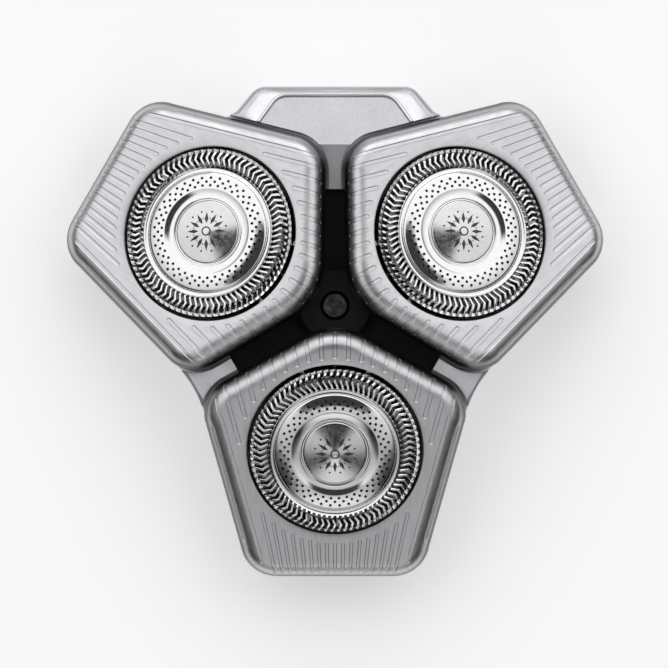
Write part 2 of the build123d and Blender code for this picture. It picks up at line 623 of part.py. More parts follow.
def frame():
    """Silver frame: skirts, webs and tab round three hair chambers, with drive ports below."""
    body = tab() + web(VALLEYS[1]) + web(VALLEYS[2])
    for azimuth in HEADS.values():
        body += skirt(azimuth)
    body += Cylinder(DECK_RADIUS, DECK_TOP, align=BASE)
    for azimuth in HEADS.values():
        body -= head_space(azimuth)
        chamber = Rot(0, 0, azimuth) * Pos(CHAMBER_OFFSET, 0, 0)
        body -= chamber * Pos(0, 0, FLOOR_SHEET) * Cylinder(CHAMBER_RADIUS, TALL, align=BASE)
        body -= chamber * Cylinder(PORT_RADIUS, TALL)
        body -= Rot(0, 0, azimuth) * hinge_room()
    body -= Pos(0, 0, DECK_BOTTOM) * extrude(deck_outline(DECK_ARM_GAP), amount=TALL)
    for valley in VALLEYS:
        length = WEB_EDGE - RIB_WALL - RIB_POCKET_START
        pocket = Box(length, 2 * RIB_POCKET_HALF_WIDTH, 2 * (DECK_BOTTOM - RIB_WALL))
        body -= Rot(0, 0, valley) * Pos(RIB_POCKET_START + length / 2, 0, 0) * pocket
    length = TAB_EDGE - TAB_WALL - TAB_POCKET_START
    height = TAB_EDGE_HEIGHT - TAB_WALL
    pocket = Box(length, 2 * TAB_POCKET_HALF_WIDTH, 2 * height)
    body -= Rot(0, 0, VALLEYS[0]) * Pos(TAB_POCKET_START + length / 2, 0, 0) * pocket
    body -= Pos(0, 0, SCREW_SEAT - SCREW_LENGTH) * Cylinder(SCREW_SHANK_RADIUS, TALL, align=BASE)
    return body


os.makedirs("parts", exist_ok=True)

export_step(frame(), "parts/frame.step")
export_step(centre_deck(), "parts/centre_deck.step")
export_step(centre_screw(), "parts/centre_screw.step")

HEAD_PIECES = {
    "housing": housing(),
    "roll_pins": roll_pins(),
    "carrier": carrier(),
    "guard": guard(),
    "trim_disc": trim_disc(),
    "retaining_ring": retaining_ring(),
    "blade_ring": blade_ring(),
    "drive_hub": drive_hub(),
    "hinge_pin": hinge_pin(),
}
for head, azimuth in HEADS.items():
    for piece, shape in HEAD_PIECES.items():
        export_step(head_place(azimuth) * shape, f"parts/{piece}_{head}.step")
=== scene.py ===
import json
import math

import bmesh
import bpy
import numpy as np
from mathutils import Matrix, Vector
from mathutils.geometry import delaunay_2d_cdt


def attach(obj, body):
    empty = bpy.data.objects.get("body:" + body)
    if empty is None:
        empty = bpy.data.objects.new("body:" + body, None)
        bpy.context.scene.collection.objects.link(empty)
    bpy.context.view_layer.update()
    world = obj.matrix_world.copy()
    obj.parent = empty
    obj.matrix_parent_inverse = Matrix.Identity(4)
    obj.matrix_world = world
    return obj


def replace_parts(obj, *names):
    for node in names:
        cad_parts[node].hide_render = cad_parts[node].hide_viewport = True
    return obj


# The looks of the rotary shaver head. Shapes are written in millimetres in each head's own frame:
# x away from the centre screw, z out of the face, z = 0 at the lip round the guard.
MM = 0.001
HEADS = ("right", "left", "bottom")

# Meshing
MERGE = 2e-7                    # points closer than this become one, in metres
SLIVER = 1e-8                   # edges shorter than this are taken out, in metres
FLAT_MERGE = 1e-5
ON_CIRCLE = 0.002               # a corner this far outside a circle still counts as on it

# Housing, as in the solids
LEAN = math.radians(15)
DOWN = Vector((math.sin(LEAN), 0, -math.cos(LEAN)))
CORNERS = ((-17.12, 0.0), (-7.195, -17.19), (16.57, -10.82), (16.57, 10.82), (-7.195, 17.19))
CORNER_ROUNDS = (8.2, 5.0, 4.6, 4.6, 5.0)
OUTLINE_STEP = 0.6
FINE_STEP = 0.12                # for places between the outline's points
HOUSING_DEPTH = 5.2
HOUSING_WALL = 1.1
HOUSING_ROOF = 1.2
ROLLED_EDGE = 2.3
ROLLED_TOP = math.radians(72)   # part of the rolled edge that is meshed with the top
ROLLED_ROWS = 6
WALL_ROWS = 3
BORDER_SLACK = 0.0005
LIP_RADIUS = 11.0
LIP_WALL = 1.0
LIP_DEPTH = 3.8
LIP_BEVEL = 0.22
LIP_SEGMENTS = 180
QUARTER_ROUND = (0.5, 0.13)     # a third of the way: share still to go inward, share gone down

# Engraved lines of the housing
SIDE_TURN = math.radians(15)    # direction of the long lines
LONG_LINES = ((14.15, -6.8, 8.3), (12.68, -10.2, 11.7))     # from the head's axis, start and end
FLANK_LINE = 11.3               # outermost of the lines that end at the opening
FLANK_PITCH = 1.6
FLANK_LINES = 7
FLANK_REACH = (-25, 0)
FAN_START = -14.0
FAN = ((0.0, 0.0), (1.74, 3.0), (3.72, 11.0))   # middle lines: sideways place and turn in degrees
FAN_REACH = (-5, 8)
LINE_HALF_WIDTH = 0.29
LINE_DEPTH = 0.07
LINE_EDGE = 0.09
LINE_MARGIN = 0.6               # line's end to the housing's outline, along the surface
LINE_RING = 12.0
FINE_LINES = 8                  # on each side of the middle one
FINE_TIP = 16.1
FINE_PITCH = 0.94
FINE_TURN = 1.45                # degrees from one fine line to the next
FINE_REACH = (-1, 9)
FINE_HALF_WIDTH = 0.225
FINE_DEPTH = 0.04
FINE_EDGE = 0.08
FINE_MARGIN = 0.39
FINE_RING = 12.3
TRIM_STEP = 0.1
GROOVE_STEP = 0.8
GROOVE_END = 8                  # pieces of a line's round end

# Guard
GUARD_SHEET = 0.4
GUARD_RADIUS = 10.62
GUARD_BORE = 10.22
GUARD_FOOT = -1.4
SHOULDER = (10, 0.9)            # outside this radius and below this height the track faces outward
SLOT_COUNT = 80
SLOT_SHARE = 0.6
SLOT_INNER = 8.5
SLOT_BEND_RADIUS = 9.35
SLOT_STRAIGHT = 10.25           # the slots run straight out from here
SLOT_BEND = math.radians(2.4)
BAR_RADIUS = 9.5                # where the bars' rounding is measured
BAR_ROUND = 0.045
BAR_DROP = 0.035
PLATE_HEIGHT = 1.13
PLATE_CROWN = 0.28
PLATE_INNER = 5.45
PLATE_OUTER = 7.42
PLATE_UNDER = 7.25              # outer radius of its lower side
PLATE_SEGMENTS = 144
PLATE_RINGS = (5.6, 6.085, 6.57, 7.1, 7.26)
HOLE_ROWS = ((5.85, 0.5), (6.32, 0.0), (6.82, 0.5))     # radius and shift in pitches
HOLES = 37
HOLE_RADIUS = 0.185
HOLE_POINTS = 14
# Guard's upper side, from the foot of its outer wall to the plate: radius, height, and whether the
# slots are open from this station to the next
GUARD_UPPER = (
    (GUARD_RADIUS, GUARD_FOOT, False),
    (GUARD_RADIUS, 0.0, False),
    (10.6, 0.3, True),
    (10.5, 0.58, True),
    (10.36, 0.82, True),
    (10.14, 1.0, True),
    (9.88, 1.12, True),
    (9.6, 1.18, True),
    (SLOT_BEND_RADIUS, 1.2, True),
    (8.9, 1.22, True),
    (SLOT_INNER, 1.2, True),
    (8.38, 1.12, True),
    (8.26, 0.98, False),
    (8.12, 0.87, False),
    (8.02, 0.83, False),
    (7.72, 0.83, False),
    (7.64, 0.87, False),
    (7.58, 0.98, False),
    (7.52, 1.07, False),
    (PLATE_OUTER, PLATE_HEIGHT, False),
)
# Its lower side, station by station under the upper one. The last station follows from the crown
GUARD_LOWER = (
    (GUARD_BORE, GUARD_FOOT),
    (GUARD_BORE, 0.0),
    (GUARD_BORE, 0.2),
    (10.18, 0.36),
    (10.1, 0.52),
    (9.96, 0.68),
    (9.8, 0.79),
    (9.58, 0.83),
    (SLOT_BEND_RADIUS, 0.84),
    (8.9, 0.85),
    (8.6, 0.84),
    (8.52, 0.76),
    (8.42, 0.6),
    (8.3, 0.46),
    (8.2, 0.43),
    (7.6, 0.43),
    (7.48, 0.47),
    (7.4, 0.6),
    (7.34, 0.7),
)
# Radius and height from the plate's inner edge down the cove, over the rim and round the shelf
COVE = (
    (5.35, 1.376),
    (5.2, 1.331),
    (5.05, 1.295),
    (4.9, 1.266),
    (4.75, 1.246),
    (4.6, 1.234),
    (4.47, 1.23),
    (4.42, 1.234),
    (4.36, 1.252),
    (4.3, 1.258),
    (4.22, 1.23),
    (4.17, 1.16),
    (4.15, 1.05),
    (4.15, 0.96),
    (2.6, 0.96),
    (2.6, 0.56),
    (4.45, 0.56),
    (4.65, 0.84),
)

# Trim disc
DISC_RADIUS = 4.01
DISC_EDGE = 3.8
DISC_TOP = 1.3                  # height where the dome starts
DISC_DOME = 0.55
DISC_POWER = 1.1
DISC_ROUND = ((3.88, 1.28), (3.95, 1.23), (3.99, 1.16), (DISC_RADIUS, 1.06))    # radius and height
DISC_BOTTOM = 0.96
DISC_SEGMENTS = 120
DISC_RINGS = 16
DISC_LEAST = 12                 # points of the innermost rings
STEM_RADIUS = 1.2
STEM_FOOT = -1.0
STEM_BEVEL = 0.2
ETCH_DEPTH = 0.035
RAYS = 12
RAY_MIDDLE = 1.75
RAY_LENGTH = 1.5
RAY_WIDTH = 0.5
RAY_SHOULDER = 0.12             # how far its widest place lies inward of its middle, as a share
DOTS = ((0.13, 14, 2.55), (0.085, 12, 1.7))     # radius, points and distance from the middle
EYE_RINGS = (0.42, 0.6)
EYE_POINTS = 36

# Hinge lugs, from the head's middle plane
LUG_INNER = 3.9
LUG_OUTER = 5.1
LUG_RADIUS = 1.0
LUG_STEPS = 12

# Tab, in the part's own frame: +y toward the tab's edge
TAB_CREST = (20.2, 13.4)        # distance from the centre screw and height
TAB_EDGE = (27.6, 10.6)
TAB_REACH = 27.52
BAND_CORNER = (8.3, 2.6)        # half the straight edge and the radius of the corner
BAND_WAIST = (11.35, 25.1)
BAND_FLARE = ((13.64, 26.71), 2.8)
BAND_WALL = 1.2                 # how far the band round the tab's edge reaches down
BAND_RISE = 0.1                 # height of its inner edge over the tab
BAND_FALL = -0.02               # the same where it starts to roll over
BAND_ROLL = 0.3
BAND_ROLL_MIDDLE = 0.29         # share of the roll gone by half way round it
BAND_LEDGE = (0.12, -0.05)      # inside the bead: width, and height over the tab
BEAD_REACH = 26.55
BEAD_CORNER = (5.9, 2.5)
BEAD_END = (9.62, 23.1)         # clear of the housings at full tilt
BEAD_RADIUS = 0.22
BEAD_RISE = 0.06
# Painted highlight: band and bead are lighter copies of the frame's silver, the bead lightest
BAND_PAINTED_HIGHLIGHT = 0.62
BEAD_PAINTED_HIGHLIGHT = 0.8
TONE_SWING = 0.03

# Plain finishes: dark and light tone, metallic, lowest and highest roughness, scale and bump of the grain
FINISHES = {
    "etched_steel": (0.06, 0.11, 0.9, 0.4, 0.5, 1500, 0.1),
    "moulded_black": (0.006, 0.012, 0.0, 0.42, 0.6, 900, 0.25),
    "carrier_black": (0.03, 0.05, 0.0, 0.4, 0.55, 700, 0.2),
    "ring_grey": (0.1, 0.14, 0.0, 0.4, 0.55, 700, 0.2),
    "hub_grey": (0.25, 0.32, 0.0, 0.4, 0.5, 700, 0.2),
    "ground_steel": (0.2, 0.3, 1.0, 0.22, 0.34, 1500, 0.1),
    "dark_plated": (0.1, 0.16, 1.0, 0.25, 0.4, 1200, 0.1),
    "bright_pin": (0.6, 0.7, 1.0, 0.18, 0.26, 900, 0.05),
}
BLACK_SPECULAR = 0.2
FINE_BUMP = 0.00001             # metres
COARSE_BUMP = 0.00002
NOISE_LOW = 0.3                 # most of a noise lies between these two
NOISE_HIGH = 0.7
SIDE_PAINTED_SHADE = 0.2                 # painted shade: how dark the housings' side walls are against their top
PAINTED_SHADE_FULL = -1.3                # height where the painted shade is full, and where it starts
PAINTED_SHADE_START = -0.3

# Camera and light, metres
PHOTO_CENTRE = Vector((-0.000125, -0.00356, 0.015))
PHOTO_WIDTH = 0.0835
CAMERA_HEIGHT = 0.65
SENSOR_WIDTH = 36
FLOOR_SIZE = 4

# World light: levels, and heights as the sine of the elevation
SKY_COLOUR = (0.98, 0.985, 1.0, 1)
TAB_SIDE = 0.9                  # how much stronger the light is from the tab's side
LIGHT_LOW = 0.06
LIGHT_HIGH = 1.2
PATCH_START = 0.9205
PATCH_FULL = 0.961
PATCH_LEVEL = 0.04
HORIZON_FULL = 0.47
HORIZON_END = 0.54
HORIZON_LEVEL = 0.4
SHADE_SIDE = 0.5                # the low part away from the tab's side is darker still
SHADE_FULL = 0.47
SHADE_END = 0.61
SHADE_LEVEL = 0.3
FILL_START = -0.3               # narrow fill from the side away from the tab
FILL_FULL = -0.7
FILL_LEVEL = 0.95
BELOW_FULL = -0.05
BELOW_LEVEL = 0.3
FLOOR_TONE = 0.85
FLOOR_ROUGHNESS = 0.7
FLOOR_SPECULAR = 0.1
FLOOR_GLOW = 0.42


class Shell:
    """Points in millimetres, and faces with the number of their material."""

    def __init__(self):
        self.points = []
        self.faces = []
        self.kinds = []

    def add(self, point):
        """Takes in a point. Returns its number."""
        self.points.append(tuple(point))
        return len(self.points) - 1

    def face(self, corners, kind=0):
        """Takes in a face by the numbers of its corners."""
        self.faces.append(tuple(corners))
        self.kinds.append(kind)

    def ring(self, radius, height, angles):
        """Points at a radius and height. Returns their numbers."""
        return [self.add((radius * math.cos(a), radius * math.sin(a), height)) for a in angles]

    def strip(self, first, second, closed=True):
        """Quads between two rows of points."""
        count = len(first)
        for i in range(count if closed else count - 1):
            j = (i + 1) % count
            self.face((first[i], first[j], second[j], second[i]))

    def lathe(self, profile, angles):
        """Rings along a profile of radius and height, joined by strips. Returns the rings."""
        rings = [self.ring(radius, height, angles) for radius, height in profile]
        for lower, upper in zip(rings, rings[1:]):
            self.strip(lower, upper)
        return rings


def turn(count):
    """Evenly spaced angles round a full circle."""
    return [2 * math.pi * i / count for i in range(count)]


def make_piece(name, shell, materials, place, sharp=30.0):
    """Mesh object from a closed shell, smooth up to an angle in degrees. Keeps its local places."""
    mesh = bpy.data.meshes.new(name)
    mesh.from_pydata([Vector(p) * MM for p in shell.points], [], shell.faces)
    for material in materials:
        mesh.materials.append(material)
    mesh.polygons.foreach_set("material_index", shell.kinds)
    work = bmesh.new()
    work.from_mesh(mesh)
    bmesh.ops.remove_doubles(work, verts=work.verts, dist=MERGE)
    bmesh.ops.dissolve_degenerate(work, edges=work.edges, dist=SLIVER)
    bmesh.ops.delete(work, geom=[v for v in work.verts if not v.link_faces], context="VERTS")
    bmesh.ops.recalc_face_normals(work, faces=work.faces)
    open_edges = sum(1 for e in work.edges if len(e.link_faces) != 2)
    work.to_mesh(mesh)
    work.free()
    local = mesh.attributes.new("local", "FLOAT_VECTOR", "POINT")
    local.data.foreach_set("vector", [value for vertex in mesh.vertices for value in vertex.co])
    mesh.transform(place)
    if open_edges:
        print(f"{name} has {open_edges} edges that aren't between two faces")
    mesh.polygons.foreach_set("use_smooth", [True] * len(mesh.polygons))
    mesh.set_sharp_from_angle(angle=math.radians(sharp))
    piece = bpy.data.objects.new(name, mesh)
    bpy.context.scene.collection.objects.link(piece)
    return piece


def triangles(loops):
    """Triangles over flat loops, whose sides stay as edges. Returns the spots and the faces."""
    spots = []
    edges = []
    for loop in loops:
        start = len(spots)
        count = len(loop)
        spots += [Vector(p) for p in loop]
        edges += [(start + i, start + (i + 1) % count) for i in range(count)]
    spots, edges, faces = delaunay_2d_cdt(spots, edges, [], 0, FLAT_MERGE)[:3]
    return [tuple(v) for v in spots], faces


def within(face, spots, centre, radius):
    """Whether all corners of a triangle lie on or inside a circle."""
    return all((Vector(spots[i]) - Vector(centre)).length < radius + ON_CIRCLE for i in face)


def middle(face, spots):
    """Middle of a flat triangle."""
    return sum((Vector(spots[i]) for i in face), Vector((0, 0))) / len(face)


def inside_loop(spot, loop):
    """Whether a spot lies within a closed loop."""
    x, y = spot
    found = False
    for i in range(len(loop)):
        ax, ay = loop[i - 1]
        bx, by = loop[i]
        if (ay > y) != (by > y) and x < (bx - ax) * (y - ay) / (by - ay) + ax:
            found = not found
    return found


def circle(radius, count, centre=(0.0, 0.0)):
    """Flat loop round a circle."""
    return [(centre[0] + radius * math.cos(a), centre[1] + radius * math.sin(a)) for a in turn(count)]


def rounded_outline(step):
    """Points and outward normals round the housing's outline, no further apart than the step."""
    points = []
    normals = []
    count = len(CORNERS)
    arcs = []
    for i in range(count):
        corner = Vector(CORNERS[i])
        before = (Vector(CORNERS[i - 1]) - corner).normalized()
        after = (Vector(CORNERS[(i + 1) % count]) - corner).normalized()
        half = before.angle(after) / 2
        radius = CORNER_ROUNDS[i]
        centre = corner + (before + after).normalized() * radius / math.sin(half)
        start = corner + before * radius / math.tan(half) - centre
        sweep = math.pi - 2 * half
        arcs.append((centre, radius, math.atan2(start.y, start.x), sweep))
    for i in range(count):
        centre, radius, start, sweep = arcs[i]
        steps = max(2, math.ceil(radius * sweep / step))
        for k in range(steps + 1):
            a = start + sweep * k / steps
            normal = Vector((math.cos(a), math.sin(a)))
            points.append(centre + normal * radius)
            normals.append(normal)
        following = arcs[(i + 1) % count]
        normal = normals[-1]
        end = following[0] + Vector((math.cos(following[2]), math.sin(following[2]))) * following[1]
        span = end - points[-1]
        pieces = max(1, math.ceil(span.length / step))
        first = points[-1]
        for k in range(1, pieces):
            points.append(first + span * k / pieces)
            normals.append(normal)
    return points, normals


class RolledTop:
    """The housing's top laid out flat: distance past the rolled edge's start is length along it."""

    def __init__(self, step):
        self.points, self.normals = rounded_outline(step)
        self.spread = []
        self.angle = []
        for normal in self.normals:
            along = Vector((-normal.y, normal.x, 0))
            wall = along.cross(DOWN).normalized()
            if wall.dot(normal.to_3d()) < 0:
                wall = -wall
            bend = Vector((0, 0, 1)).angle(wall)
            self.angle.append(bend)
            self.spread.append(ROLLED_EDGE * math.tan(bend / 2))
        self.place = np.array([tuple(p) for p in self.points])
        self.out = np.array([tuple(n) for n in self.normals])

    def offset(self, i, distance):
        """Flat place on the normal of outline point i, measured outward from the outline."""
        return self.points[i] + self.normals[i] * distance

    def rolled(self, i, bend):
        """Place and normal on the rolled edge over outline point i."""
        normal = self.normals[i].to_3d()
        centre = self.points[i].to_3d() - normal * self.spread[i] - Vector((0, 0, ROLLED_EDGE))
        direction = Vector((0, 0, math.cos(bend))) + normal * math.sin(bend)
        return centre + direction * ROLLED_EDGE, direction

    def nearest(self, spot):
        """Nearest outline point and the signed distance outward from it."""
        gaps = self.place - np.array(spot)
        i = int((gaps * gaps).sum(1).argmin())
        return i, float(-(gaps[i] * self.out[i]).sum())

    def surface(self, spot):
        """Place and normal in space of a spot in the flat layout."""
        i, distance = self.nearest(spot)
        run = distance + self.spread[i]
        if run <= 0:
            return Vector((spot[0], spot[1], 0)), Vector((0, 0, 1))
        place, direction = self.rolled(i, run / ROLLED_EDGE)
        normal = self.normals[i]
        along = Vector((-normal.y, normal.x))
        slip = (Vector(spot) - self.points[i]).dot(along)
        return place + along.to_3d() * slip, direction


class Groove:
    """One engraved line with round ends, in the flat layout."""

    def __init__(self, start, end, half_width, depth, edge):
        self.start = Vector(start)
        self.end = Vector(end)
        self.half_width = half_width
        self.depth = depth
        self.edge = edge

    def outline(self, half_width):
        """Loop round the line at a distance from its middle."""
        along = (self.end - self.start).normalized()
        heading = math.atan2(along.y, along.x)
        pieces = max(1, round((self.end - self.start).length / GROOVE_STEP))
        loop = []
        for centre, other, first in (
            (self.end, self.start, heading - math.pi / 2),
            (self.start, self.end, heading + math.pi / 2),
        ):
            for k in range(GROOVE_END + 1):
                a = first + math.pi * k / GROOVE_END
                loop.append(centre + Vector((math.cos(a), math.sin(a))) * half_width)
            span = other - centre
            last = loop[-1]
            loop += [last + span * k / pieces for k in range(1, pieces)]
        return loop

    def loops(self):
        """Upper and lower edge of the sloped side."""
        return [self.outline(self.half_width), self.outline(self.half_width - self.edge)]

    def depth_at(self, spot):
        """How deep the line is at a spot."""
        span = self.end - self.start
        share = min(1, max(0, (spot - self.start).dot(span) / span.length_squared))
        gap = (spot - self.start - span * share).length
        return self.depth * min(1, max(0, (self.half_width - gap) / self.edge))


def trimmed(layout, origin, direction, margin, ring, reach):
    """The longest stretch of a line that keeps its margin to the outline and stays off the ring."""
    runs = []
    run = []
    for k in range(int(reach[0] / TRIM_STEP), int(reach[1] / TRIM_STEP) + 1):
        spot = Vector(origin) + Vector(direction) * k * TRIM_STEP
        if layout.nearest(spot)[1] < -margin and spot.length > ring:
            run.append(spot)
        elif run:
            runs.append(run)
            run = []
    runs.append(run)
    best = max(runs, key=len)
    return best[0], best[-1]


def engraved_lines(layout):
    """All engraved lines of one housing."""
    wide = []
    for side in (1, -1):
        direction = Vector((math.cos(SIDE_TURN), -side * math.sin(SIDE_TURN)))
        normal = Vector((math.sin(SIDE_TURN), side * math.cos(SIDE_TURN)))
        for away, start, end in LONG_LINES:
            wide.append((normal * away + direction * start, normal * away + direction * end))
        for k in range(FLANK_LINES):
            origin = normal * (FLANK_LINE - k * FLANK_PITCH)
            wide.append(trimmed(layout, origin, direction, LINE_MARGIN, LINE_RING, FLANK_REACH))
        for place, degrees in FAN if side > 0 else FAN[1:]:
            a = math.radians(degrees)
            origin = (FAN_START, side * place)
            heading = (math.cos(a), -side * math.sin(a))
            wide.append(trimmed(layout, origin, heading, LINE_MARGIN, LINE_RING, FAN_REACH))
    grooves = [Groove(*ends, LINE_HALF_WIDTH, LINE_DEPTH, LINE_EDGE) for ends in wide]
    for k in range(-FINE_LINES, FINE_LINES + 1):
        slope = math.tan(math.radians(k * FINE_TURN))
        origin = (FINE_TIP, k * FINE_PITCH)
        ends = trimmed(layout, origin, (-1, slope), FINE_MARGIN, FINE_RING, FINE_REACH)
        grooves.append(Groove(*ends, FINE_HALF_WIDTH, FINE_DEPTH, FINE_EDGE))
    return grooves


def flat_key(spot):
    """A flat spot, rounded so that it can be looked up."""
    return (round(spot[0], 3), round(spot[1], 3))


def housing_top(shell, layout):
    """Engraved top, with the rolled edge down to the bend ROLLED_TOP."""
    fine = RolledTop(FINE_STEP)
    grooves = engraved_lines(fine)
    known = {}
    rows = []
    for k in range(ROLLED_ROWS + 1):
        bend = ROLLED_TOP * k / ROLLED_ROWS
        row = []
        for i, spread in enumerate(layout.spread):
            spot = layout.offset(i, bend * ROLLED_EDGE - spread)
            row.append(spot)
            known[flat_key(spot)] = layout.rolled(i, bend)
        rows.append(row)
    loops = [circle(LIP_RADIUS + LIP_BEVEL, LIP_SEGMENTS), *rows]
    for groove in grooves:
        loops += groove.loops()
    spots, faces = triangles(loops)
    top = []
    for spot in spots:
        key = flat_key(spot)
        place, normal = known[key] if key in known else fine.surface(spot)
        drop = max(groove.depth_at(Vector(spot)) for groove in grooves)
        top.append(shell.add(place - normal * drop))
    for face in faces:
        if within(face, spots, (0, 0), LIP_RADIUS + LIP_BEVEL):
            continue
        i, distance = layout.nearest(middle(face, spots))
        limit = ROLLED_TOP * ROLLED_EDGE - layout.spread[i]
        if distance - limit <= -BORDER_SLACK:
            shell.face([top[i] for i in face])


def housing_sides(shell, layout):
    """Rest of the rolled edge, and the walls. Returns the loop where they meet the roof."""
    around = range(len(layout.points))
    wall = []
    for k in range(WALL_ROWS):
        share = (k + 1) / WALL_ROWS
        row = []
        for i in around:
            bend = ROLLED_TOP + (layout.angle[i] - ROLLED_TOP) * share
            row.append(shell.add(layout.rolled(i, bend)[0]))
        wall.append(row)
    start = [shell.add(layout.rolled(i, ROLLED_TOP)[0]) for i in around]
    foot = []
    foot_inner = []
    roof_edge = []
    for i in around:
        place = layout.rolled(i, layout.angle[i])[0]
        fall = (place.z + HOUSING_DEPTH) / math.cos(LEAN)
        low = place + DOWN * fall
        inner = low - layout.normals[i].to_3d() * HOUSING_WALL
        rise = (HOUSING_DEPTH - HOUSING_ROOF) / math.cos(LEAN)
        foot.append(shell.add(low))
        foot_inner.append(shell.add(inner))
        roof_edge.append(inner - DOWN * rise)
    for first, second in zip([start, *wall], [*wall, foot]):
        shell.strip(first, second)
    shell.strip(foot, foot_inner)
    shell.strip(foot_inner, [shell.add(p) for p in roof_edge])
    return [(p.x, p.y) for p in roof_edge]


def housing_shell():
    """Pentagon cap: engraved top, rolled edge, walls, roof underside and the lip round the guard."""
    layout = RolledTop(OUTLINE_STEP)
    shell = Shell()
    housing_top(shell, layout)
    outer_loop = housing_sides(shell, layout)
    spots, faces = triangles([outer_loop, circle(LIP_RADIUS + LIP_WALL, LIP_SEGMENTS)])
    under = [shell.add((p[0], p[1], -HOUSING_ROOF)) for p in spots]
    for face in faces:
        in_lip = within(face, spots, (0, 0), LIP_RADIUS + LIP_WALL)
        if inside_loop(middle(face, spots), outer_loop) and not in_lip:
            shell.face([under[i] for i in face])
    left, gone = QUARTER_ROUND
    shell.lathe(
        (
            (LIP_RADIUS + LIP_BEVEL, 0),
            (LIP_RADIUS + LIP_BEVEL * left, -LIP_BEVEL * gone),
            (LIP_RADIUS + LIP_BEVEL * gone, -LIP_BEVEL * left),
            (LIP_RADIUS, -LIP_BEVEL),
            (LIP_RADIUS, -LIP_DEPTH),
            (LIP_RADIUS + LIP_WALL, -LIP_DEPTH),
            (LIP_RADIUS + LIP_WALL, -HOUSING_ROOF),
        ),
        turn(LIP_SEGMENTS),
    )
    return shell


def slot_shift(radius):
    """Sideways angle of a slot's middle at a radius."""
    rise = (radius - SLOT_INNER) / (SLOT_BEND_RADIUS - SLOT_INNER)
    fall = (SLOT_STRAIGHT - radius) / (SLOT_STRAIGHT - SLOT_BEND_RADIUS)
    return SLOT_BEND * max(0, min(rise, fall))


def crown(radius):
    """Height of the perforated plate."""
    share = (radius - PLATE_INNER) / (PLATE_OUTER - PLATE_INNER)
    return PLATE_HEIGHT + PLATE_CROWN * (1 - share * share)


def bar_columns():
    """The four places across a bar between two slots: angle from its middle, and drop."""
    bar = 2 * math.pi / SLOT_COUNT * (1 - SLOT_SHARE) / 2
    rounding = BAR_ROUND / BAR_RADIUS
    return ((-bar, BAR_DROP), (-bar + rounding, 0), (bar - rounding, 0), (bar, BAR_DROP))


def guard_row(shell, radius, height, shift, rounded=False, inward=False):
    """Points of all bars at one station. Rounded bars' edges sink inward or down."""
    pitch = 2 * math.pi / SLOT_COUNT
    row = []
    for i in range(SLOT_COUNT):
        for angle, drop in bar_columns():
            a = i * pitch + pitch / 2 + angle + shift
            sunk = drop if rounded else 0
            r = radius - sunk if inward else radius
            z = height if inward else height - sunk
            row.append(shell.add((r * math.cos(a), r * math.sin(a), z)))
    return row


def guard_track(shell):
    """Outer wall, slotted track and channel. Returns the inner ends of its upper and lower side."""
    lower = (*GUARD_LOWER, (PLATE_UNDER, crown(PLATE_UNDER) - GUARD_SHEET))
    top_rows = []
    bottom_rows = []
    count = len(GUARD_UPPER)
    for k in range(count):
        radius, height, is_open = GUARD_UPPER[k]
        rounded = k > 0 and is_open and GUARD_UPPER[k - 1][2]
        inward = radius > SHOULDER[0] and height < SHOULDER[1]
        shift = slot_shift(radius)
        top_rows.append(guard_row(shell, radius, height, shift, rounded, inward))
        bottom_rows.append(guard_row(shell, lower[k][0], lower[k][1], shift))
    across = len(bar_columns())
    total = SLOT_COUNT * across
    for k in range(count - 1):
        is_open = GUARD_UPPER[k][2]
        for c in range(total):
            following = (c + 1) % total
            over_slot = c % across == across - 1
            if over_slot and is_open:
                continue
            for rows in (top_rows, bottom_rows):
                shell.face((rows[k][c], rows[k][following], rows[k + 1][following], rows[k + 1][c]))
        if is_open:
            for c in range(0, total, across):
                for edge in (c, c + across - 1):
                    shell.face((top_rows[k][edge], top_rows[k + 1][edge],
                                bottom_rows[k + 1][edge], bottom_rows[k][edge]))
    for k in range(1, count):
        if GUARD_UPPER[k][2] != GUARD_UPPER[k - 1][2]:
            for c in range(across - 1, total, across):
                following = (c + 1) % total
                shell.face((top_rows[k][c], top_rows[k][following],
                            bottom_rows[k][following], bottom_rows[k][c]))
    shell.strip(top_rows[0], bottom_rows[0])
    return top_rows[-1], bottom_rows[-1]


def guard_plate(shell, upper_rim, lower_rim):
    """Crowned plate with its rows of holes."""
    holes = []
    for radius, shift in HOLE_ROWS:
        for i in range(HOLES):
            a = 2 * math.pi * (i + shift) / HOLES
            holes.append(Vector((radius * math.cos(a), radius * math.sin(a))))
    hole_loops = [circle(HOLE_RADIUS, HOLE_POINTS, hole) for hole in holes]
    hole_places = np.array([tuple(hole) for hole in holes])

    def is_sheet(face, spots):
        """Whether a triangle lies outside the bore and the nearest hole."""
        if within(face, spots, (0, 0), PLATE_INNER):
            return False
        gaps = hole_places - np.array(spots[face[0]])
        hole = holes[int((gaps * gaps).sum(1).argmin())]
        return not within(face, spots, hole, HOLE_RADIUS)

    for rim_row, sunk, reach in ((upper_rim, 0, PLATE_OUTER), (lower_rim, GUARD_SHEET, PLATE_UNDER)):
        rim = [shell.points[i][:2] for i in rim_row]
        rings = [circle(r, PLATE_SEGMENTS) for r in (PLATE_INNER, *PLATE_RINGS) if r < reach]
        spots, faces = triangles([rim, *rings, *hole_loops])
        layer = [shell.add((x, y, crown(math.hypot(x, y)) - sunk)) for x, y in spots]
        for face in faces:
            if is_sheet(face, spots) and inside_loop(middle(face, spots), rim):
                shell.face([layer[i] for i in face])
    for loop in hole_loops:
        heights = [crown(math.hypot(x, y)) for x, y in loop]
        first = [shell.add((x, y, z)) for (x, y), z in zip(loop, heights)]
        second = [shell.add((x, y, z - GUARD_SHEET)) for (x, y), z in zip(loop, heights)]
        shell.strip(first, second)


def guard_shell():
    """Steel cap: slotted track, channel, crowned plate with holes, cove, rim and shelf."""
    shell = Shell()
    upper_rim, lower_rim = guard_track(shell)
    guard_plate(shell, upper_rim, lower_rim)
    top = PLATE_HEIGHT + PLATE_CROWN
    profile = ((PLATE_INNER, top), *COVE, (PLATE_INNER, top - GUARD_SHEET))
    shell.lathe(profile, turn(PLATE_SEGMENTS))
    return shell


